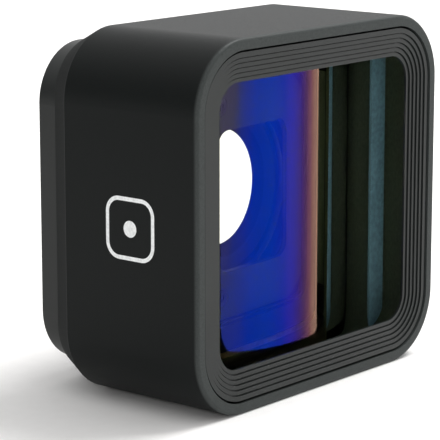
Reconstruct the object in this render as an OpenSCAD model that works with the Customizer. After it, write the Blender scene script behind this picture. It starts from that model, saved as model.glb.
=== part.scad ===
// Clip-on cylindrical (anamorphic) lens in a rounded-square housing.
// The optical axis runs along Y: light comes in at -Y and leaves through the spigot at +Y.
// The origin is on that axis at the rear flange, where the mount meets a phone case.
// Depths are counted from the plane of the front rim towards the back.

/* [Housing] */
// Width of the housing
housing_w = 40.4; // [40.2:0.1:41]
// Height of the housing
housing_h = 38; // [37.8:0.1:38.4]
// Depth of the housing from the front rim to its back face
housing_d = 20.2; // [20.2:0.05:20.4]
// Radius of the housing's corners
corner_r = 7.2; // [7.1:0.1:7.6]
// Width of the flat rim round the front frame
rim_w = 1.17; // [1.1:0.01:1.25]
// Rounding of the front edge
front_round = 0.4; // [0.2:0.05:0.5]
// How far the bevel of the rear edge goes inwards
bevel_inset = 1.33; // [1.2:0.01:1.4]
// Length of that bevel
bevel_length = 2.74; // [2.5:0.02:2.8]

/* [Front frame] */
// Gap between the rim and the front frame
frame_gap = 0.23; // [0.18:0.01:0.26]
// Number of treads in the front frame
treads = 6; // [4:1:6]
// Width of one tread
tread_w = 0.508; // [0.45:0.002:0.52]
// Height of the step between two treads
tread_step = 0.14; // [0.1:0.01:0.15]
// Width of the groove at the foot of each step
groove_w = 0.12; // [0.08:0.01:0.15]

/* [Lenses] */
// Half width of the clear aperture between the lenses
clear_x = 15.3; // [14.8:0.1:15.3]
// Half height of the clear aperture between the lenses
clear_z = 15.7; // [15.3:0.05:15.75]
// Half width of the hollow in the back of the front lens
hollow_x = 14.2; // [13.8:0.1:14.4]
// Radius of the hollow back of the front lens
hollow_r = 24; // [23.6:0.1:26]
// Radius of the domed front of the rear pair
dome_r = 40.2; // [38:0.2:44]

/* [Rear mount] */
// Width of the rear carrier
carrier_w = 36.1; // [35:0.1:36.3]
// Height of the rear carrier
carrier_h = 34; // [33:0.1:34.1]
// Radius of the carrier's corners
carrier_r = 6.1; // [5.5:0.1:6.6]
// Turn of the carrier to each side, in degrees
carrier_turn = 5; // [2:1:5]
// Radius of the mount's spigot
spigot_r = 9; // [8.8:0.05:9.1]
// Radius of the round light opening
stop_r = 6.4; // [6:0.1:6.5]

/* [Hidden] */

$fn = 96;
eps = 0.01;         // overshoot of a cut
slack = 0.05;       // radial clearance of a running fit
fit_gap = 0.02;     // clearance between seated pieces of one body

// Depths of the stack, front to back
bezel_front = 0.17;
bezel_floor = 1.15;
bezel_skirt_end = 2.6;
gasket_front = 1.3;
gasket_end = 1.9;
groove_d = 0.14;
front_glass = 1.27;
front_glass_middle = 2;
hollow_vertex = front_glass + front_glass_middle;
front_glass_back = hollow_vertex + sag(hollow_r, hollow_x);
lens_gap = 5.015;
crown_t = 2.67;
flint_t = 1.05;
dome_vertex = hollow_vertex + lens_gap;
dome_seat = dome_vertex + sag(dome_r, clear_x);
cement_r = 120;
cement_vertex = dome_seat + crown_t;
doublet_back = cement_vertex + flint_t;
shim_t = 0.12;
cell_floor = doublet_back + shim_t;
cell_back = cell_floor + 0.95;
baffle_back = cell_back + 0.8;
ring_front = baffle_back + 0.2;
ring_back = ring_front + 0.8;
rear_wall_front = ring_back + 0.7;
plate_front = housing_d + 0.1;
plate_t = 3;
flange = plate_front + plate_t;

// Housing cavity and cell
cavity_w = housing_w - 2 * rim_w;
cavity_h = housing_h - 2 * rim_w;
cavity_r = corner_r - rim_w;
back_edge = 0.15;   // chamfer between the rear bevel and the back face
bezel_w = cavity_w - 2 * frame_gap;
bezel_h = cavity_h - 2 * frame_gap;
bezel_r = cavity_r - frame_gap;
skirt_wall = 0.7;
cell_play = 0.15;
glass_w = 33.8;
glass_h = 32.2;
glass_r = 3.2;
cell_gap = 0.1;
cell_window_w = 20.4;
cell_window_h = 25.4;
cell_window_r = 2.2;
baffle_window_w = 20;
baffle_window_h = 25;
baffle_window_r = 2;
clear_r = 0.8;
seat_lip_x = 0.95;
seat_lip_z = 1.35;
seat_r = 2.6;
baffle_w = 31.6;
baffle_h = 29.8;
baffle_r = 4;
shim_lip = 0.2;
liner_t = 0.5;
liner_length = 2.625;
liner_front = dome_seat - liner_length;
liner_z = 12;
rib_pitch = 0.5;

// Side mark: a rounded-square outline round a dot, cut into the left side and filled
mark_size = 6.4;
mark_r = 1.7;
mark_line = 0.42;
mark_dot_r = 0.85;
mark_depth = 0.12;
mark_behind_front = 8.72;

// Rear mount
journal_r = 12.95;
journal_bore_r = journal_r + slack;
journal_inner_r = 10.6;
web_inner_r = 9.4;
web_front = plate_front + 0.7;
ring_outer_r = 14.4;
mask_r = 10.3;
mask_back = ring_back + 0.3;
mask_w = 13;
mask_h = 15.2;
mask_corner_r = 1.8;
bayonet_seat = flange - 1.1;
bayonet_flange_r = 12.15;
spigot_len = 2.6;
tab_r = 10.4;
tab_front = 1.6;
tab_end = 2.5;
tab_angle = 36;
tab_count = 3;
stop_edge = flange + 1;
stop_t = 0.2;
window_r = 8.3;
window_seat = stop_edge + stop_t;
window_t = 0.8;
retainer_inner_r = 7.8;
retainer_t = 0.4;
retainer_slot = 0.6;
pad_inner_r = 12.8;
pad_outer_r = 14.2;
pad_seat = 0.2;
pad_t = 0.4;
index_z = 15.45;
index_r = 0.45;
index_t = 0.15;
carrier_edge = 0.25;

// Fasteners and pins
cell_screw_xz = 12.6;
cell_screw_r = 0.8;
cell_screw_head_r = 1.5;
cell_screw_len = 4.2;
cell_boss_r = 1.9;
head_rim = 0.1;
small_screw_r = 0.55;
bayonet_head_r = 1.05;
bayonet_screw_len = 2.1;
ring_head_r = 0.95;
ring_head_t = 0.28;
ring_screw_len = 2.2;
ring_screw_pcr = 11.78;
bayonet_screw_pcr = 10.6;
stop_pin_r = 0.5;
stop_pin_radius = 15.4;
stop_pin_len = 2.3;
stop_pin_seat = 1.3;
stop_slot_half = 0.6;
stop_slot_depth = 1.3;
stop_slot_end = carrier_turn + 0.75;
lock_radius = 15.4;
lock_pin_r = 0.6;
lock_head_r = 1;
lock_head_t = 0.6;
lock_shoulder = flange - 0.8;
lock_stand = 0.9;
lock_tip = 0.2;
lock_plug_t = 0.4;
coil_r = 0.72;
coil_wire_r = 0.075;
coil_turns = 3.5;

// Height of a circular arc of radius r over half the chord c
function sag(r, c) = r - sqrt(r * r - c * c);

// ---------- Helpers ----------

// Extrudes a front view outline from one depth to another
module slab(from, to) {
    translate([0, to - flange, 0])
        rotate([90, 0, 0])
            linear_extrude(height = to - from)
                children();
}

// Places children so that their +Z runs backwards from a depth
module at_depth(depth, x = 0, z = 0) {
    translate([x, depth - flange, z])
        rotate([-90, 0, 0])
            children();
}

// Rounded rectangle outline
module round_rect(w, h, r) {
    square([w - 2 * r, h], center = true);
    square([w, h - 2 * r], center = true);
    for (sx = [-1, 1], sz = [-1, 1])
        translate([sx * (w / 2 - r), sz * (h / 2 - r)])
            circle(r);
}

module round_bar(w, h, r, from, to) {
    slab(from, to)
        round_rect(w, h, r);
}

// Rectangular frame with rounded corners
module frame_bar(w, h, r, inner_w, inner_h, inner_r, from, to) {
    difference() {
        round_bar(w, h, r, from, to);
        round_bar(inner_w, inner_h, inner_r, from - eps, to + eps);
    }
}

// Round ring between two depths
module ring(outer, inner, from, to) {
    at_depth(from)
        difference() {
            cylinder(r = outer, h = to - from);
            translate([0, 0, -eps])
                cylinder(r = inner, h = to - from + 2 * eps);
        }
}

// Countersunk screw whose head is flush at a depth; it runs forwards from there
module screw(r, head_r, head_depth, length, x, z) {
    cone = head_r - r;
    at_depth(head_depth - length, x, z)
        difference() {
            union() {
                cylinder(r = r, h = length - cone / 2);
                translate([0, 0, length - cone - head_rim])
                    cylinder(r1 = r, r2 = head_r, h = cone);
                translate([0, 0, length - head_rim])
                    cylinder(r = head_r, h = head_rim);
            }
            translate([0, 0, length - cone * 0.9])
                cylinder(r = head_r * 0.45, h = cone, $fn = 6);
        }
}

// The hole that such a screw goes through
module screw_hole(r, head_r, head_depth, length, x, z) {
    cone = head_r - r;
    at_depth(head_depth - length, x, z) {
        cylinder(r = r + slack, h = length + eps);
        translate([0, 0, length - cone - head_rim])
            cylinder(r1 = r + slack, r2 = head_r + slack, h = cone);
        translate([0, 0, length - head_rim])
            cylinder(r = head_r + slack, h = head_rim + eps);
    }
}

// ---------- Housing ----------

// Half section of the housing: x outwards, y backwards
module edge_section(half) {
    polygon([
        [0, front_round], [half, front_round], [half, housing_d - bevel_length],
        [half - bevel_inset, housing_d - back_edge], [half - bevel_inset - back_edge, housing_d],
        [0, housing_d]
    ]);
    square([half - front_round, front_round + eps]);
    translate([half - front_round, front_round])
        circle(front_round);
}

// The housing's outer shape: a plain core, four side blocks and four quarter turns round it.
// The side blocks lap into the core.
module housing_block() {
    span_x = housing_w / 2 - corner_r;
    span_z = housing_h / 2 - corner_r;
    lap = 1;
    slab(0, housing_d)
        square([2 * (span_x + lap), 2 * (span_z + lap)], center = true);
    for (turn = [0, 180])
        rotate([0, turn, 0]) {
            rotate([0, 90, 0])
                linear_extrude(height = 2 * span_x, center = true)
                    translate([span_z - lap, -flange])
                        edge_section(corner_r + lap);
            linear_extrude(height = 2 * span_z, center = true)
                translate([span_x - lap, -flange])
                    edge_section(corner_r + lap);
            for (start = [-90, 0])
                at_depth(0, span_x, start < 0 ? span_z : -span_z)
                    rotate([0, 0, start])
                        rotate_extrude(angle = 90)
                            edge_section(corner_r);
        }
}

module mark_outline() {
    difference() {
        round_rect(mark_size, mark_size, mark_r);
        round_rect(mark_size - 2 * mark_line, mark_size - 2 * mark_line, mark_r - mark_line);
    }
    circle(mark_dot_r);
}

// The mark as a solid of a given thickness, from the left side inwards
module mark_solid(thickness, proud) {
    translate([-housing_w / 2 - proud, mark_behind_front - flange, 0])
        rotate([90, 0, 90])
            linear_extrude(height = thickness + proud)
                mark_outline();
}

module body_shell() {
    color("#1b1f1f")
        difference() {
            housing_block();
            round_bar(cavity_w, cavity_h, cavity_r, -1, rear_wall_front);
            at_depth(rear_wall_front - eps)
                cylinder(r = journal_bore_r, h = housing_d - rear_wall_front + 1);
            for (sx = [-1, 1], sz = [-1, 1])
                screw_hole(cell_screw_r, cell_screw_head_r, housing_d, cell_screw_len / 2,
                    sx * cell_screw_xz, sz * cell_screw_xz);
            at_depth(housing_d - stop_pin_seat, stop_pin_radius, 0)
                cylinder(r = stop_pin_r + fit_gap, h = stop_pin_len);
            mark_solid(mark_depth, 1);
        }
}

module side_mark() {
    color("#eceeee")
        mark_solid(mark_depth, 0);
}

module front_bezel() {
    color("#2a2e2e")
        difference() {
            union() {
                round_bar(bezel_w, bezel_h, bezel_r, bezel_front, bezel_floor);
                frame_bar(bezel_w, bezel_h, bezel_r, bezel_w - 2 * skirt_wall, bezel_h - 2 * skirt_wall,
                    bezel_r - skirt_wall, bezel_floor - eps, bezel_skirt_end);
            }
            for (i = [1 : treads - 1]) {
                w = bezel_w - 2 * i * tread_w;
                h = bezel_h - 2 * i * tread_w;
                r = bezel_r - i * tread_w;
                round_bar(w, h, r, -1, bezel_front + i * tread_step);
                frame_bar(w, h, r, w - 2 * groove_w, h - 2 * groove_w, r - groove_w,
                    -1, bezel_front + i * tread_step + groove_d);
            }
            round_bar(bezel_w - 2 * treads * tread_w, bezel_h - 2 * treads * tread_w,
                bezel_r - treads * tread_w, -1, bezel_floor + 1);
        }
}

module bezel_gasket() {
    color("#0c0c0c")
        frame_bar(cavity_w, cavity_h, cavity_r, bezel_w, bezel_h, bezel_r, gasket_front, gasket_end);
}

// ---------- Lenses and cell ----------

module front_lens_gasket() {
    color("#101010")
        frame_bar(glass_w, glass_h, glass_r, glass_w - 2 * seat_lip_x, glass_h - 2 * seat_lip_z, seat_r,
            bezel_floor, front_glass);
}

module front_lens() {
    color([0.75, 0.85, 0.95, 0.35])
        difference() {
            round_bar(glass_w, glass_h, glass_r, front_glass, front_glass_back);
            translate([0, hollow_vertex + hollow_r - flange, -glass_h])
                cylinder(r = hollow_r, h = 2 * glass_h, $fn = 180);
        }
}

module lens_cell() {
    cell_w = cavity_w - 2 * cell_play;
    cell_h = cavity_h - 2 * cell_play;
    rabbet = frame_gap + skirt_wall + slack;
    color("#141616")
        difference() {
            union() {
                round_bar(cell_w, cell_h, cavity_r - cell_play, bezel_skirt_end + cell_gap, cell_back);
                round_bar(cavity_w - 2 * rabbet, cavity_h - 2 * rabbet, cavity_r - rabbet,
                    bezel_floor, bezel_skirt_end + 2 * cell_gap);
                for (sx = [-1, 1], sz = [-1, 1])
                    at_depth(cell_back - eps, sx * cell_screw_xz, sz * cell_screw_xz)
                        cylinder(r = cell_boss_r, h = rear_wall_front - cell_back + eps);
            }
            round_bar(glass_w + 2 * cell_gap, glass_h + 2 * cell_gap, glass_r + cell_gap, -1, cell_floor);
            round_bar(cell_window_w, cell_window_h, cell_window_r, 0, cell_back + 1);
            for (sx = [-1, 1], sz = [-1, 1])
                at_depth(cell_floor + 0.5, sx * cell_screw_xz, sz * cell_screw_xz)
                    cylinder(r = cell_screw_r + slack, h = 5);
        }
}

module liner_pocket(grow) {
    for (side = [-1, 1])
        translate([side * (clear_x + liner_t / 2), (liner_front + dome_seat) / 2 - flange, 0])
            cube([liner_t + 2 * grow, dome_seat - liner_front, 2 * liner_z + 2 * grow], center = true);
}

module spacer_frame() {
    color("#17191a")
        difference() {
            frame_bar(glass_w, glass_h, glass_r, 2 * clear_x, 2 * clear_z, clear_r,
                front_glass_back, dome_seat);
            liner_pocket(fit_gap);
        }
}

module side_liners() {
    rib_count = floor((dome_seat - liner_front) / rib_pitch);
    color("#0b0b0c")
        difference() {
            liner_pocket(0);
            for (side = [-1, 1], i = [1 : rib_count - 1])
                translate([side * clear_x, liner_front + i * rib_pitch - flange, 0])
                    rotate([0, 0, 45])
                        cube([rib_pitch / 2, rib_pitch / 2, 2 * liner_z + 1], center = true);
        }
}

// Everything in front of the cemented face
module before_cement(gap) {
    translate([0, cement_vertex - cement_r - gap - flange, 0])
        cylinder(r = cement_r, h = 2 * glass_h, center = true, $fn = 360);
}

module crown_lens() {
    dome_play = 0.06;
    color([0.25, 0.35, 0.9, 0.6])
        intersection() {
            union() {
                round_bar(glass_w, glass_h, glass_r, dome_seat, doublet_back);
                intersection() {
                    round_bar(2 * (clear_x - dome_play), 2 * (clear_z - dome_play), clear_r - dome_play,
                        dome_vertex - 1, dome_seat + eps);
                    translate([0, dome_vertex + dome_r - flange, 0])
                        cylinder(r = dome_r, h = 2 * glass_h, center = true, $fn = 240);
                }
            }
            before_cement(fit_gap);
        }
}

module flint_lens() {
    color([0.6, 0.75, 0.9, 0.5])
        difference() {
            round_bar(glass_w, glass_h, glass_r, dome_seat + 0.4, doublet_back);
            before_cement(0);
        }
}

module doublet_shim() {
    color("#3a3a3a")
        frame_bar(glass_w, glass_h, glass_r, 2 * (clear_x - shim_lip), 2 * (clear_z - shim_lip), clear_r,
            doublet_back, cell_floor);
}

module rear_baffle() {
    color("#111213")
        difference() {
            round_bar(baffle_w, baffle_h, baffle_r, cell_back, baffle_back);
            round_bar(baffle_window_w, baffle_window_h, baffle_window_r, 0, baffle_back + 1);
            for (sx = [-1, 1], sz = [-1, 1])
                at_depth(cell_back - eps, sx * cell_screw_xz, sz * cell_screw_xz)
                    cylinder(r = cell_boss_r + slack, h = 2);
        }
}

module cell_screws() {
    color("#2b2b2b")
        for (sx = [-1, 1], sz = [-1, 1])
            screw(cell_screw_r, cell_screw_head_r, housing_d, cell_screw_len,
                sx * cell_screw_xz, sz * cell_screw_xz);
}

module stop_pin() {
    color("silver")
        at_depth(housing_d - stop_pin_seat, stop_pin_radius, 0)
            cylinder(r = stop_pin_r, h = stop_pin_len);
}

// A closed tube mesh through rings of points, with flat ends or closed on itself
module swept(rings, closed) {
    n = len(rings[0]);
    m = len(rings);
    last = closed ? m - 1 : m - 2;
    walls = [for (i = [0 : last], j = [0 : n - 1])
        [i * n + j, i * n + (j + 1) % n, ((i + 1) % m) * n + (j + 1) % n, ((i + 1) % m) * n + j]];
    ends = closed ? [] : [[for (j = [n - 1 : -1 : 0]) j], [for (j = [0 : n - 1]) (m - 1) * n + j]];
    polyhedron(points = [for (one = rings) each one], faces = concat(walls, ends), convexity = 6);
}

module wave_spring() {
    steps = 96;
    waves = 3;
    middle = (ring_back + rear_wall_front) / 2 - flange;
    half_t = 0.08;
    rise = (rear_wall_front - ring_back) / 2 - half_t - fit_gap;
    inner = journal_bore_r + 0.2;
    outer = ring_outer_r - 0.1;
    rings = [for (i = [0 : steps - 1])
        let (a = 360 * i / steps, y = middle + rise * sin(waves * a))
        [for (c = [[inner, -half_t], [outer, -half_t], [outer, half_t], [inner, half_t]])
            [c[0] * cos(a), y + c[1], c[0] * sin(a)]]];
    color("silver")
        swept(rings, true);
}

// ---------- Rear mount ----------

module stop_slot() {
    at_depth(plate_front - eps) {
        rotate([0, 0, -stop_slot_end])
            rotate_extrude(angle = 2 * stop_slot_end)
                translate([stop_pin_radius - stop_slot_half, 0])
                    square([2 * stop_slot_half, stop_slot_depth]);
        for (side = [-1, 1])
            rotate([0, 0, side * stop_slot_end])
                translate([stop_pin_radius, 0, 0])
                    cylinder(r = stop_slot_half, h = stop_slot_depth);
    }
}

module rear_plate() {
    color("#232727")
        difference() {
            union() {
                round_bar(carrier_w, carrier_h, carrier_r, plate_front, flange - carrier_edge);
                round_bar(carrier_w - 2 * carrier_edge, carrier_h - 2 * carrier_edge,
                    carrier_r - carrier_edge, plate_front, flange);
                at_depth(ring_back)
                    cylinder(r = journal_r, h = plate_front - ring_back + eps);
            }
            at_depth(ring_back - eps)
                cylinder(r = journal_inner_r, h = web_front - ring_back + eps);
            at_depth(ring_back)
                cylinder(r = web_inner_r, h = flange - ring_back + eps);
            at_depth(bayonet_seat)
                cylinder(r = bayonet_flange_r + slack, h = flange - bayonet_seat + eps);
            stop_slot();
            at_depth(plate_front - eps, -lock_radius, 0)
                cylinder(r = lock_head_r + slack, h = lock_shoulder - plate_front + eps);
            at_depth(plate_front, -lock_radius, 0)
                cylinder(r = lock_pin_r + slack, h = plate_t + eps);
            ring(pad_outer_r, pad_inner_r, flange - pad_seat, flange + 1);
            at_depth(flange - index_t, 0, index_z)
                cylinder(r = index_r, h = 1);
            for (i = [0 : 2]) {
                rotate([0, 120 * i + 60, 0])
                    at_depth(flange - bayonet_screw_len - slack, 0, bayonet_screw_pcr)
                        cylinder(r = small_screw_r + slack, h = bayonet_screw_len);
                rotate([0, 120 * i + 90, 0])
                    at_depth(ring_back - eps, 0, ring_screw_pcr)
                        cylinder(r = small_screw_r + slack,
                            h = ring_screw_len + ring_front - ring_back + 2 * slack);
            }
        }
}

module retaining_ring() {
    color("#2a2a2c")
        difference() {
            union() {
                at_depth(ring_front)
                    cylinder(r = ring_outer_r, h = ring_back - ring_front);
                at_depth(ring_front)
                    cylinder(r = mask_r, h = mask_back - ring_front);
            }
            round_bar(mask_w, mask_h, mask_corner_r, 0, mask_back + 1);
            for (i = [0 : 2])
                rotate([0, 120 * i + 90, 0])
                    at_depth(ring_front - eps, 0, ring_screw_pcr) {
                        cylinder(r = small_screw_r + slack, h = ring_screw_len);
                        cylinder(r = ring_head_r + slack, h = ring_head_t + fit_gap);
                    }
        }
}

module ring_screws() {
    color("#3a3a3c")
        for (i = [0 : 2])
            rotate([0, 120 * i + 90, 0])
                at_depth(ring_front, 0, ring_screw_pcr)
                    difference() {
                        union() {
                            cylinder(r = ring_head_r, h = ring_head_t);
                            cylinder(r = small_screw_r, h = ring_screw_len);
                        }
                        translate([0, 0, -eps])
                            cylinder(r = ring_head_r * 0.45, h = 0.2, $fn = 6);
                    }
}

module bayonet_ring() {
    color("#303436")
        difference() {
            union() {
                at_depth(bayonet_seat)
                    cylinder(r = bayonet_flange_r, h = flange - bayonet_seat);
                at_depth(bayonet_seat)
                    cylinder(r = spigot_r, h = flange - bayonet_seat + spigot_len);
                at_depth(flange + tab_front)
                    for (i = [0 : tab_count - 1])
                        rotate([0, 0, 360 * i / tab_count + 90 - tab_angle / 2])
                            rotate_extrude(angle = tab_angle)
                                translate([spigot_r - 0.5, 0])
                                    square([tab_r - spigot_r + 0.5, tab_end - tab_front]);
            }
            at_depth(bayonet_seat - eps)
                cylinder(r1 = web_inner_r - 0.6, r2 = stop_r, h = stop_edge - bayonet_seat + eps);
            at_depth(bayonet_seat)
                cylinder(r = stop_r, h = 5);
            at_depth(window_seat)
                cylinder(r = window_r + slack, h = 5);
            at_depth(flange + spigot_len - 0.2)
                cylinder(r1 = window_r, r2 = window_r + 0.4, h = 0.2 + eps);
            for (i = [0 : 2])
                rotate([0, 120 * i + 60, 0])
                    screw_hole(small_screw_r, bayonet_head_r, flange, bayonet_screw_len, 0,
                        bayonet_screw_pcr);
        }
}

module bayonet_screws() {
    color("#4a4d50")
        for (i = [0 : 2])
            rotate([0, 120 * i + 60, 0])
                screw(small_screw_r, bayonet_head_r, flange, bayonet_screw_len, 0, bayonet_screw_pcr);
}

module rear_window() {
    color([0.7, 0.85, 0.95, 0.35])
        at_depth(window_seat)
            cylinder(r = window_r, h = window_t);
}

module window_retainer() {
    front = window_seat + window_t + fit_gap;
    color("#1c1e1f")
        difference() {
            ring(window_r, retainer_inner_r, front, front + retainer_t);
            for (side = [-1, 1])
                translate([side * window_r, front + retainer_t - flange, 0])
                    cube([2 * retainer_slot, retainer_slot, retainer_slot], center = true);
        }
}

module flange_pad() {
    color("#161616")
        ring(pad_outer_r - fit_gap, pad_inner_r + fit_gap, flange - pad_seat, flange - pad_seat + pad_t);
}

module index_dot() {
    color("#f2f2f0")
        at_depth(flange - index_t, 0, index_z)
            cylinder(r = index_r - fit_gap, h = index_t);
}

// ---------- Lock pin ----------

module lock_pin_plug() {
    color("#2a2a2c")
        at_depth(plate_front, -lock_radius, 0)
            cylinder(r = lock_head_r + slack - fit_gap, h = lock_plug_t);
}

module lock_pin_spring() {
    length = lock_shoulder - lock_head_t - plate_front - lock_plug_t - 2 * coil_wire_r - 2 * fit_gap;
    steps = 49;
    front = plate_front + lock_plug_t + coil_wire_r + fit_gap - flange;
    rings = [for (i = [0 : steps])
        let (t = i / steps, a = 360 * coil_turns * t)
        [for (j = [0 : 7])
            let (b = 45 * j, r = coil_r + coil_wire_r * cos(b))
            [r * cos(a) - lock_radius, front + length * t + coil_wire_r * sin(b), -r * sin(a)]]];
    color("silver")
        swept(rings, false);
}

module lock_pin() {
    color("#b9bcbe")
        at_depth(lock_shoulder - lock_head_t, -lock_radius, 0) {
            tip = flange + lock_stand - lock_shoulder + lock_head_t;
            cylinder(r = lock_head_r, h = lock_head_t);
            cylinder(r = lock_pin_r, h = tip - lock_tip);
            translate([0, 0, tip - lock_tip])
                cylinder(r1 = lock_pin_r, r2 = lock_pin_r - lock_tip, h = lock_tip);
        }
}

body_shell();
side_mark();
front_bezel();
bezel_gasket();
front_lens_gasket();
front_lens();
lens_cell();
spacer_frame();
side_liners();
crown_lens();
flint_lens();
doublet_shim();
rear_baffle();
cell_screws();
stop_pin();
wave_spring();
rear_plate();
retaining_ring();
ring_screws();
bayonet_ring();
bayonet_screws();
rear_window();
window_retainer();
flange_pad();
index_dot();
lock_pin_plug();
lock_pin_spring();
lock_pin();
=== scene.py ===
"""Looks of a clip-on cylindrical lens: materials, real glass, camera, floor and light.

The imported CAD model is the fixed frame. The glass pieces are rebuilt here as smooth meshes of the
same size, because light has to bend through them. Lengths are in millimetres unless they say
otherwise, and MM turns them into metres. Depths are counted from the plane of the front rim towards
the back, and y_at turns a depth into a place on the Y axis.
"""

import math

import bpy
from mathutils import Matrix, Vector


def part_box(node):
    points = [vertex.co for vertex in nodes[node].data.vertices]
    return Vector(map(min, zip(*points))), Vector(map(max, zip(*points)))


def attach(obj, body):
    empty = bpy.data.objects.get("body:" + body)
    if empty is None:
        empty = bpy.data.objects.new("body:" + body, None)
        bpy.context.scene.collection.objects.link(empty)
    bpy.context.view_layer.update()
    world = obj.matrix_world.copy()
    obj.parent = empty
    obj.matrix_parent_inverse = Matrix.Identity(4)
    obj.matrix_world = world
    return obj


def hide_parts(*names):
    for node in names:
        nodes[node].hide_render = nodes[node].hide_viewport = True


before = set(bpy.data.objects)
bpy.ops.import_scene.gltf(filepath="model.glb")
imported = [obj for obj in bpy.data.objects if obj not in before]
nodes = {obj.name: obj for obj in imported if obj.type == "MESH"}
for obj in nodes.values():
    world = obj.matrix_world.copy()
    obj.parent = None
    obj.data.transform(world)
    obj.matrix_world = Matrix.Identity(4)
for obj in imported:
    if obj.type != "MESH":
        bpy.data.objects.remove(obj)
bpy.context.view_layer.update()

MM = 0.001
FLANGE = 23.3  # depth of the rear flange, where the origin is
scene = bpy.context.scene


def y_at(depth):
    return (depth - FLANGE) * MM


# ---------- Node helpers ----------

NOISE_LOW = 0.3  # most of a noise texture's values lie between these two
NOISE_HIGH = 0.7
TOTAL_POWER = 12.0  # a Fresnel share to this power is 1 in total reflection and next to 0 elsewhere
WHITE = (1, 1, 1, 1)


class Nodes:
    """A material's node tree, with short calls to add and link nodes."""

    def __init__(self, name):
        self.mat = bpy.data.materials.new(name)
        self.mat.use_nodes = True
        self.tree = self.mat.node_tree
        self.main = self.tree.nodes["Principled BSDF"]
        self.out = self.tree.nodes["Material Output"]

    def add(self, kind, props=None, **inputs):
        node = self.tree.nodes.new(kind)
        for key, value in (props or {}).items():
            setattr(node, key, value)
        for key, value in inputs.items():
            self.feed(node.inputs[key.replace("_", " ")], value)
        return node

    def feed(self, socket, value):
        if isinstance(value, bpy.types.NodeSocket):
            self.tree.links.new(value, socket)
        else:
            socket.default_value = value

    def set(self, **inputs):
        for key, value in inputs.items():
            self.feed(self.main.inputs[key.replace("_", " ")], value)

    def place(self):
        """Object coordinates, in metres in the row frame."""
        return self.add("ShaderNodeTexCoord").outputs["Object"]

    def stretched(self, scale):
        return self.add("ShaderNodeMapping", Vector=self.place(), Scale=scale).outputs["Vector"]

    def noise(self, size, detail=2.0, vector=None, rough=0.5):
        """Noise whose features are about size across."""
        node = self.add(
            "ShaderNodeTexNoise",
            Vector=vector or self.place(),
            Scale=1 / (size * MM),
            Detail=detail,
            Roughness=rough,
        )
        return node.outputs["Fac"]

    def ramp(self, fac, stops):
        node = self.add("ShaderNodeValToRGB", Fac=fac)
        elements = node.color_ramp.elements
        while len(elements) > 1:
            elements.remove(elements[-1])
        for i, (at, colour) in enumerate(stops):
            stop = elements[0] if i == 0 else elements.new(at)
            stop.position = at
            stop.color = (*colour, 1)
        return node.outputs["Color"]

    def mottled(self, fac, colour, low, high):
        """The colour, from low to high times itself as the noise in fac rises."""
        dark, light = (tuple(c * level for c in colour) for level in (low, high))
        return self.ramp(fac, [(NOISE_LOW, dark), (NOISE_HIGH, light)])

    def span(self, value, low, high, to_low, to_high):
        node = self.add(
            "ShaderNodeMapRange",
            Value=value,
            From_Min=low,
            From_Max=high,
            To_Min=to_low,
            To_Max=to_high,
        )
        return node.outputs["Result"]

    def uneven(self, fac, low, high):
        """A number from low to high as the noise in fac rises."""
        return self.span(fac, NOISE_LOW, NOISE_HIGH, low, high)

    def math(self, how, a, b=0.0):
        node = self.add("ShaderNodeMath", {"operation": how})
        self.feed(node.inputs[0], a)
        self.feed(node.inputs[1], b)
        return node.outputs[0]

    def blend(self, fac, a, b):
        node = self.add("ShaderNodeMix", {"data_type": "RGBA"}, Factor=fac)
        self.feed(node.inputs[6], a)
        self.feed(node.inputs[7], b)
        return node.outputs[2]

    def bump(self, height, depth, normal=None):
        node = self.add("ShaderNodeBump", Height=height, Strength=1.0, Distance=depth * MM)
        if normal is not None:
            self.feed(node.inputs["Normal"], normal)
        return node.outputs["Normal"]

    def refraction(self, ior):
        return self.add("ShaderNodeBsdfRefraction", IOR=ior, Roughness=0.0)

    def mirror(self, colour):
        return self.add("ShaderNodeBsdfAnisotropic", Color=colour, Roughness=0.0)

    def total(self, ior):
        """1 where the surface reflects in full, and next to 0 elsewhere."""
        fresnel = self.add("ShaderNodeFresnel", IOR=ior)
        return self.math("POWER", fresnel.outputs[0], TOTAL_POWER)

    def finish(self, shader):
        """Put shader in place of the Principled one."""
        self.tree.nodes.remove(self.main)
        self.feed(self.out.inputs["Surface"], shader.outputs[0])
        return self.mat


def anodised(name, colour, rough, grain, grain_depth, gloss=0.5, lines=None):
    """Black anodised metal: a fine blasted or cut grain, and cloudy variation of colour and gloss.

    lines is the stretch of a second, directional grain, as left by a cutter, or None."""
    n = Nodes(name)
    cloud = n.noise(6, 3)
    fine = n.noise(grain, 3, rough=0.65)
    both = n.math("ADD", n.math("MULTIPLY", cloud, 0.6), n.math("MULTIPLY", fine, 0.4))
    normal = n.bump(fine, grain_depth)
    if lines:
        streak = n.noise(1, 2, vector=n.stretched(lines))
        normal = n.bump(streak, grain_depth * 1.5, normal)
    n.set(
        Base_Color=n.mottled(both, colour, 0.7, 1.3),
        Roughness=n.uneven(both, rough - 0.05, rough + 0.05),
        Specular_IOR_Level=gloss,
        Normal=normal,
    )
    return n.mat


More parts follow.
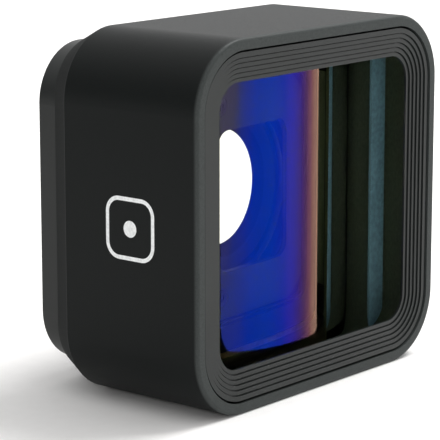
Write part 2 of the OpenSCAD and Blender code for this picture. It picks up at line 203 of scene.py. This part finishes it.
def banded(name, axis, colour, bands, rough, gloss, soft=0.0, grain=(0.15, 0.005), matt=None):
    """Anodised metal of one colour, then bands of others, each given by its start and its colour.
    The bands follow each other along the object's axis, or outwards from the optical axis if axis
    is "R". soft is the width of the blend at each start. grain is the size and depth of the grain.
    matt is where a rougher part starts, and how much rougher it is."""
    n = Nodes(name)
    split = n.add("ShaderNodeSeparateXYZ", Vector=n.place())
    if axis == "R":
        x2 = n.math("MULTIPLY", split.outputs["X"], split.outputs["X"])
        z2 = n.math("MULTIPLY", split.outputs["Z"], split.outputs["Z"])
        along = n.math("SQRT", n.math("ADD", x2, z2))
    else:
        along = split.outputs[axis]
    fine = n.noise(grain[0], 3, rough=0.65)
    look = n.mottled(fine, colour, 0.75, 1.25)
    for start, tint in bands:
        if soft:
            past = n.span(along, (start - soft) * MM, start * MM, 0, 1)
        else:
            past = n.math("GREATER_THAN", along, start * MM)
        look = n.blend(past, look, n.mottled(fine, tint, 0.75, 1.25))
    roughness = n.uneven(fine, rough - 0.05, rough + 0.05)
    if matt:
        start, extra = matt
        more = n.span(along, start * MM, (start + MATT_BLEND) * MM, 0, extra)
        roughness = n.math("ADD", roughness, more)
    n.set(
        Base_Color=look,
        Roughness=roughness,
        Specular_IOR_Level=gloss,
        Normal=n.bump(fine, grain[1]),
    )
    return n.mat


def bright_metal(name, colour, rough, lines=(1, 1, 1)):
    n = Nodes(name)
    streak = n.noise(0.4, 3, vector=n.stretched(lines))
    n.set(
        Base_Color=n.mottled(streak, colour, 0.8, 1.15),
        Roughness=n.uneven(streak, rough - 0.06, rough + 0.08),
        Metallic=1.0,
        Normal=n.bump(streak, 0.003),
    )
    return n.mat


def rubber(name, colour, rough):
    n = Nodes(name)
    fine = n.noise(0.25, 4)
    n.set(
        Base_Color=n.mottled(fine, colour, 0.75, 1.3),
        Roughness=n.uneven(fine, rough - 0.07, rough + 0.05),
        Normal=n.bump(fine, 0.01),
    )
    return n.mat


def paint(name, colour):
    """White paint rubbed into an engraving: a little uneven and dirty."""
    n = Nodes(name)
    fine = n.noise(0.3, 4)
    dirty = tuple(c * 0.8 for c in colour)
    n.set(
        Base_Color=n.ramp(fine, [(NOISE_LOW, dirty), (0.6, colour)]),
        Roughness=n.uneven(fine, 0.45, 0.65),
        Normal=n.bump(fine, 0.015),
    )
    return n.mat


def ground_glass(name, colour, gloss):
    """A ground face of a lens, bare or inked."""
    n = Nodes(name)
    fine = n.noise(0.5, 4)
    n.set(
        Base_Color=n.mottled(fine, colour, 0.75, 1.2),
        Roughness=n.uneven(fine, 0.55, 0.8),
        Specular_IOR_Level=gloss,
        Normal=n.bump(fine, 0.01),
    )
    return n.mat


def glass(name, ior, tint):
    """Well-coated glass: it bends light, and mirrors it in full past the critical angle. The little
    that it would mirror otherwise is left out."""
    n = Nodes(name)
    see = n.refraction(ior)
    n.feed(see.inputs["Color"], n.mottled(n.noise(5, 3), tint, 0.985, 1.0))
    mix = n.add("ShaderNodeMixShader")
    n.feed(mix.inputs[0], n.total(ior))
    n.feed(mix.inputs[1], see.outputs[0])
    n.feed(mix.inputs[2], n.mirror(WHITE).outputs[0])
    return n.finish(mix)


def coating(name, ior, stops, through):
    """Coated glass whose mirror colour goes from blue to violet and orange as it is seen more from
    the side. stops give that colour over 1 - cos(angle of incidence), and through is the tint of
    what passes. Past the critical angle it mirrors in full."""
    n = Nodes(name)
    see = n.refraction(ior)
    see.inputs["Color"].default_value = (*through, 1)
    tilt = n.add("ShaderNodeLayerWeight", Blend=0.5)
    cloud = n.math("MULTIPLY", n.math("SUBTRACT", n.noise(9, 2), 0.5), 0.004)
    at = n.span(n.math("ADD", tilt.outputs["Facing"], cloud), 0, COAT_SPAN, 0, 1)
    tint = n.ramp(at, [(f / COAT_SPAN, c) for f, c in stops])
    mirror = n.mirror(n.blend(n.total(ior), tint, WHITE))
    both = n.add("ShaderNodeAddShader")
    n.feed(both.inputs[0], see.outputs[0])
    n.feed(both.inputs[1], mirror.outputs[0])
    return n.finish(both)


# ---------- Materials on the CAD nodes ----------

INKY = (0.004, 0.005, 0.005)
SATIN = (0.0045, 0.0060, 0.0058)
PAINTED_LIGHT_FRONT = (0.040, 0.045, 0.044)  # painted light: the shell's front edge is a lighter colour, standing in for light falling on its front faces
PLATE = (0.035, 0.042, 0.012)  # the lighter parts of the mask behind the lenses
PAINTED_LIGHT_END = 0.5  # depth where that painted light on the front edge ends
BEVEL_START = 17.3  # depth where the shell's rear bevel starts
MATT_BLEND = 0.4
MASK_STEPS = (17.14, 17.4, 17.95)  # depths where the mask goes to black, back and to black again

# Painted light: the shell's front edge, down to half a millimetre deep, is a lighter grey, standing
# in for light on its front faces. Behind it the shell is satin black.
shell = banded(
    "shell_finish_with_painted_light",
    "Y",
    PAINTED_LIGHT_FRONT,
    [(PAINTED_LIGHT_END - FLANGE, SATIN)],
    rough=0.42,
    gloss=0.11,
    soft=0.3,
    grain=(0.14, 0.016),
    matt=(BEVEL_START - FLANGE, 0.3),
)
bezel = anodised("bezel_finish", (0.014, 0.0165, 0.016), 0.36, 0.1, 0.006, 0.3)
cell = anodised("cell_finish", (0.018, 0.018, 0.010), 0.5, 0.2, 0.008, 0.04)
spacer = anodised("spacer_finish", INKY, 0.5, 0.2, 0.008, 0.15)
liner = anodised("liner_finish", (0.076, 0.105, 0.070), 0.8, 0.4, 0.004, 0.1)
carrier = anodised(
    "carrier_finish", (0.0105, 0.0125, 0.012), 0.36, 0.1, 0.003, 0.3, lines=(2.0, 2.0, 0.05)
)
turned = banded(
    "turned_finish",
    "R",
    INKY,
    [(7.6, (0.018, 0.019, 0.020)), (9.6, (0.012, 0.013, 0.014))],
    rough=0.35,
    gloss=0.04,
)
mask = banded(
    "mask_finish",
    "Y",
    PLATE,
    [(depth - FLANGE, tint) for depth, tint in zip(MASK_STEPS, (INKY, PLATE, INKY))],
    rough=0.5,
    gloss=0.03,
)
retainer = anodised("retainer_finish", (0.005, 0.006, 0.006), 0.4, 0.12, 0.006)
finishes = {
    "body_shell": shell,
    "front_bezel": bezel,
    "lens_cell": cell,
    "rear_baffle": cell,
    "spacer_frame": spacer,
    "side_liners": liner,
    "rear_plate": carrier,
    "retaining_ring": mask,
    "lock_pin_plug": carrier,
    "bayonet_ring": turned,
    "window_retainer": retainer,
    "bezel_gasket": rubber("gasket_finish", (0.01, 0.01, 0.01), 0.8),
    "flange_pad": rubber("pad_finish", (0.015, 0.015, 0.015), 0.7),
    "doublet_shim": bright_metal("shim_finish", (0.45, 0.36, 0.2), 0.35),
    "cell_screws": bright_metal("screw_finish", (0.08, 0.08, 0.085), 0.35),
    "ring_screws": bright_metal("ring_screw_finish", (0.02, 0.022, 0.02), 0.5),
    "stop_pin": bright_metal("pin_finish", (0.6, 0.61, 0.62), 0.25, (1, 0.1, 1)),
    "wave_spring": bright_metal("spring_finish", (0.5, 0.51, 0.53), 0.3),
    "side_mark": paint("mark_finish", (0.86, 0.88, 0.88)),
    "rear_window": glass("window_coat", 1.5, (0.98, 1.0, 0.995)),
}
for same, like in (
    ("front_lens_gasket", "bezel_gasket"),
    ("bayonet_screws", "cell_screws"),
    ("lock_pin", "stop_pin"),
    ("lock_pin_spring", "wave_spring"),
    ("index_dot", "side_mark"),
):
    finishes[same] = finishes[like]
for name, mat in finishes.items():
    for slot in nodes[name].material_slots:
        slot.material = mat

# ---------- Glass pieces ----------

GLASS_HALF_W = 16.9
GLASS_HALF_H = 16.1
GLASS_CORNER = 3.2
CORNER_STEPS = 12
FLAT_STEPS = 110
CLEAR_X = 15.3  # half width of the rear pair's domed face, with the step to its seat
DOME_X = 15.24  # where the dome ends and that step starts
HOLLOW_X = 14.2  # half width of the front lens's hollow
INK_X = 16.6  # from here out the flat rim beside the hollow is inked
HOLLOW_R = 24.0
DOME_R = 40.2
# Depths
FRONT_GLASS = 1.27
HOLLOW_VERTEX = 3.27
RIM_GAP = 0.01  # keeps the back of the front lens off the spacer
DOME_VERTEX = 8.285
DOME_SEAT = 11.31
DOUBLET_BACK = 15.029

FRONT_IOR = 1.52
REAR_IOR = 1.6
CLEAR = (0.99, 0.99, 1.0)
COAT_SPAN = 0.25
COAT = [
    (0.0, (0.035, 0.028, 0.035)),
    (0.0088, (0.0245, 0.021, 0.063)),
    (0.0126, (0.0084, 0.0154, 0.133)),
    (0.0175, (0.0056, 0.014, 0.175)),
    (0.025, (0.0007, 0.014, 0.217)),
    (0.050, (0.0007, 0.0175, 0.231)),
    (0.082, (0.0042, 0.0119, 0.224)),
    (0.097, (0.014, 0.0119, 0.231)),
    (0.111, (0.0189, 0.0119, 0.189)),
    (0.127, (0.028, 0.0126, 0.119)),
    (0.145, (0.047, 0.018, 0.066)),
    (0.160, (0.092, 0.033, 0.064)),
    (0.1715, (0.139, 0.061, 0.057)),
    (0.184, (0.177, 0.098, 0.073)),
    (0.205, (0.185, 0.110, 0.082)),
    (0.215, (0.012, 0.010, 0.008)),
]
FRONT, BACK, EDGE, RIM = range(4)  # a lens's material slots


def outline(half_w, half_h, r, extra):
    """Half heights of a rounded rectangle at x values from one side to the other. The values in
    extra are among them on both sides."""
    inner = half_w - r
    turn = [inner + r * math.sin(math.pi / 2 * i / CORNER_STEPS) for i in range(CORNER_STEPS + 1)]
    flat = [inner * i / FLAT_STEPS for i in range(FLAT_STEPS)]
    xs = sorted({round(v, 5) for x in turn + flat + list(extra) for v in (x, -x)})
    return [
        (x, half_h - r + math.sqrt(max(r * r - max(abs(x) - inner, 0) ** 2, 0))) for x in xs
    ]


def back_kind(x, rim):
    """The slot of the back face at x. rim is where its flat rim starts, and where that is inked."""
    if x > rim[1]:
        return EDGE
    return RIM if x > rim[0] else BACK


def glass_block(name, columns, front, back, mats, rim=(math.inf, math.inf)):
    """A closed lens from strips across x. front and back give the depth at x. mats are those of the
    front, the back, the inked ground edge and the back's bare ground rim."""
    points, faces, kinds = [], [], []
    for x, z in columns:
        for depth in (front(x), back(x)):
            for sign in (-1, 1):
                points.append((x * MM, y_at(depth), sign * z * MM))
    for i in range(len(columns) - 1):
        a, b = 4 * i, 4 * (i + 1)
        faces += [
            (a, b, b + 1, a + 1),
            (a + 2, a + 3, b + 3, b + 2),
            (a + 1, b + 1, b + 3, a + 3),
            (a, a + 2, b + 2, b),
        ]
        middle = abs(columns[i][0] + columns[i + 1][0]) / 2
        kinds += [FRONT, back_kind(middle, rim), EDGE, EDGE]
    last = 4 * (len(columns) - 1)
    faces += [(0, 1, 3, 2), (last, last + 2, last + 3, last + 1)]
    kinds += [EDGE, EDGE]
    mesh = bpy.data.meshes.new(name)
    mesh.from_pydata(points, [], faces)
    for mat in mats:
        mesh.materials.append(mat)
    kinds_at = {}
    for face, kind in zip(mesh.polygons, kinds):
        face.material_index = kind
        face.use_smooth = kind in (FRONT, BACK)
        for key in face.edge_keys:
            kinds_at.setdefault(key, set()).add(kind)
    for edge in mesh.edges:
        edge.use_edge_sharp = len(kinds_at[edge.key]) > 1
    mesh.validate()
    mesh.update()
    obj = bpy.data.objects.new(name, mesh)
    scene.collection.objects.link(obj)
    return obj


def sag(r, x):
    return r - math.sqrt(r * r - x * x)


def hollow_depth(x):
    return HOLLOW_VERTEX + sag(HOLLOW_R, min(abs(x), HOLLOW_X)) - RIM_GAP


def dome_depth(x):
    return DOME_VERTEX + sag(DOME_R, x) if abs(x) <= DOME_X else DOME_SEAT


columns = outline(
    GLASS_HALF_W, GLASS_HALF_H, GLASS_CORNER, (HOLLOW_X, DOME_X, CLEAR_X, INK_X)
)
inked = ground_glass("ground_edge", (0.070, 0.090, 0.056), 0.03)
front_mats = (
    glass("front_coat", FRONT_IOR, (0.99, 1.0, 1.0)),
    coating("hollow_coat", FRONT_IOR, COAT, (1.0, 0.96, 0.80)),
    inked,
    ground_glass("ground_rim", (0.18, 0.35, 0.41), 0.3),
)
front_lens = glass_block(
    "front_lens_glass",
    columns,
    lambda x: FRONT_GLASS,
    hollow_depth,
    front_mats,
    (HOLLOW_X, INK_X),
)
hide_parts("front_lens")
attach(front_lens, "housing")

rear_mats = (
    glass("dome_coat", REAR_IOR, CLEAR),
    glass("doublet_back_coat", REAR_IOR, CLEAR),
    inked,
)
rear_pair = glass_block("rear_pair_glass", columns, dome_depth, lambda x: DOUBLET_BACK, rear_mats)
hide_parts("crown_lens", "flint_lens")
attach(rear_pair, "housing")

# ---------- Camera ----------

CAMERA_AT = (-0.1793, -0.1582, 0.0449)  # metres
CAMERA_BACK = (-0.7538, -0.6256, 0.2011)  # away from what it looks at
CAMERA_RIGHT = (0.6386, -0.7695, 0.0)

cam_data = bpy.data.cameras.new("camera")
cam_data.lens = 180.99
cam_data.sensor_width = 36.0
cam_data.clip_start = 0.01
cam_data.clip_end = 50
cam = bpy.data.objects.new("camera", cam_data)
back = Vector(CAMERA_BACK).normalized()
up = back.cross(Vector(CAMERA_RIGHT).normalized()).normalized()
right = up.cross(back)
cam.matrix_world = Matrix(
    [(right[i], up[i], back[i], CAMERA_AT[i]) for i in range(3)] + [(0, 0, 0, 1)]
)
scene.collection.objects.link(cam)
scene.camera = cam

# ---------- Floor, world and lights ----------

FLOOR_HALF = 3.0  # metres
PAPER_DARK = (0.87, 0.86, 0.85)
PAPER_LIGHT = (0.89, 0.88, 0.87)
BRIGHT_SIDE = (0.74, 0.12, 0.66)  # where the studio is brightest
SHADE = 0.08  # brightness of the opposite side
BACKDROP = 1.1  # brightness of the backdrop as the camera sees it
KEY_AT = (0.38, -0.12, 0.67)  # metres
CAMERA_SIDE_AT = (-0.42, -0.40, 0.16)
AIM = (0, -0.012, 0)

floor_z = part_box("body_shell")[0].z
floor_mesh = bpy.data.meshes.new("floor")
corners = ((-1, -1), (1, -1), (1, 1), (-1, 1))
floor_mesh.from_pydata(
    [(x * FLOOR_HALF, y * FLOOR_HALF, 0) for x, y in corners], [], [(0, 1, 2, 3)]
)
floor = bpy.data.objects.new("floor", floor_mesh)
floor.location.z = floor_z
scene.collection.objects.link(floor)
paper = Nodes("paper")
paper.set(
    Base_Color=paper.ramp(
        paper.noise(1.5, 3), [(NOISE_LOW, PAPER_DARK), (NOISE_HIGH, PAPER_LIGHT)]
    ),
    Roughness=0.8,
)
floor.data.materials.append(paper.mat)

world = bpy.data.worlds.new("studio")
scene.world = world
world.use_nodes = True
wt = world.node_tree
wt.nodes.clear()
w_out = wt.nodes.new("ShaderNodeOutputWorld")
w_bg = wt.nodes.new("ShaderNodeBackground")
w_bg.inputs["Strength"].default_value = 1.0
w_co = wt.nodes.new("ShaderNodeTexCoord")
w_dot = wt.nodes.new("ShaderNodeVectorMath")
w_dot.operation = "DOT_PRODUCT"
w_dot.inputs[1].default_value = Vector(BRIGHT_SIDE).normalized()
w_range = wt.nodes.new("ShaderNodeMapRange")
w_range.inputs["From Min"].default_value = -1
w_range.inputs["From Max"].default_value = 1
w_ramp = wt.nodes.new("ShaderNodeValToRGB")
w_ramp.color_ramp.interpolation = "EASE"
for stop, at, level in zip(w_ramp.color_ramp.elements, (0.15, 0.75), (SHADE, 1)):
    stop.position = at
    stop.color = (level, level, level, 1)
w_path = wt.nodes.new("ShaderNodeLightPath")
w_mix = wt.nodes.new("ShaderNodeMix")
w_mix.data_type = "RGBA"
w_mix.inputs["B"].default_value = (BACKDROP, BACKDROP, BACKDROP, 1)
wt.links.new(w_co.outputs["Generated"], w_dot.inputs[0])
wt.links.new(w_dot.outputs["Value"], w_range.inputs["Value"])
wt.links.new(w_range.outputs["Result"], w_ramp.inputs["Fac"])
wt.links.new(w_path.outputs["Is Camera Ray"], w_mix.inputs["Factor"])
wt.links.new(w_ramp.outputs["Color"], w_mix.inputs["A"])
wt.links.new(w_mix.outputs["Result"], w_bg.inputs["Color"])
wt.links.new(w_bg.outputs[0], w_out.inputs["Surface"])


def area_light(name, place, size, watts):
    """A round lamp, size metres across. It doesn't show through glass, where it would only leave
    bright grains."""
    data = bpy.data.lights.new(name, "AREA")
    data.shape = "DISK"
    data.size = size
    data.energy = watts
    obj = bpy.data.objects.new(name, data)
    obj.location = place
    direction = Vector(AIM) - Vector(place)
    obj.rotation_euler = direction.to_track_quat("-Z", "Y").to_euler()
    obj.visible_transmission = False
    scene.collection.objects.link(obj)


area_light("key", KEY_AT, 0.40, 5.5)
area_light("camera_side", CAMERA_SIDE_AT, 0.12, 0.6)

scene.view_settings.view_transform = "Standard"
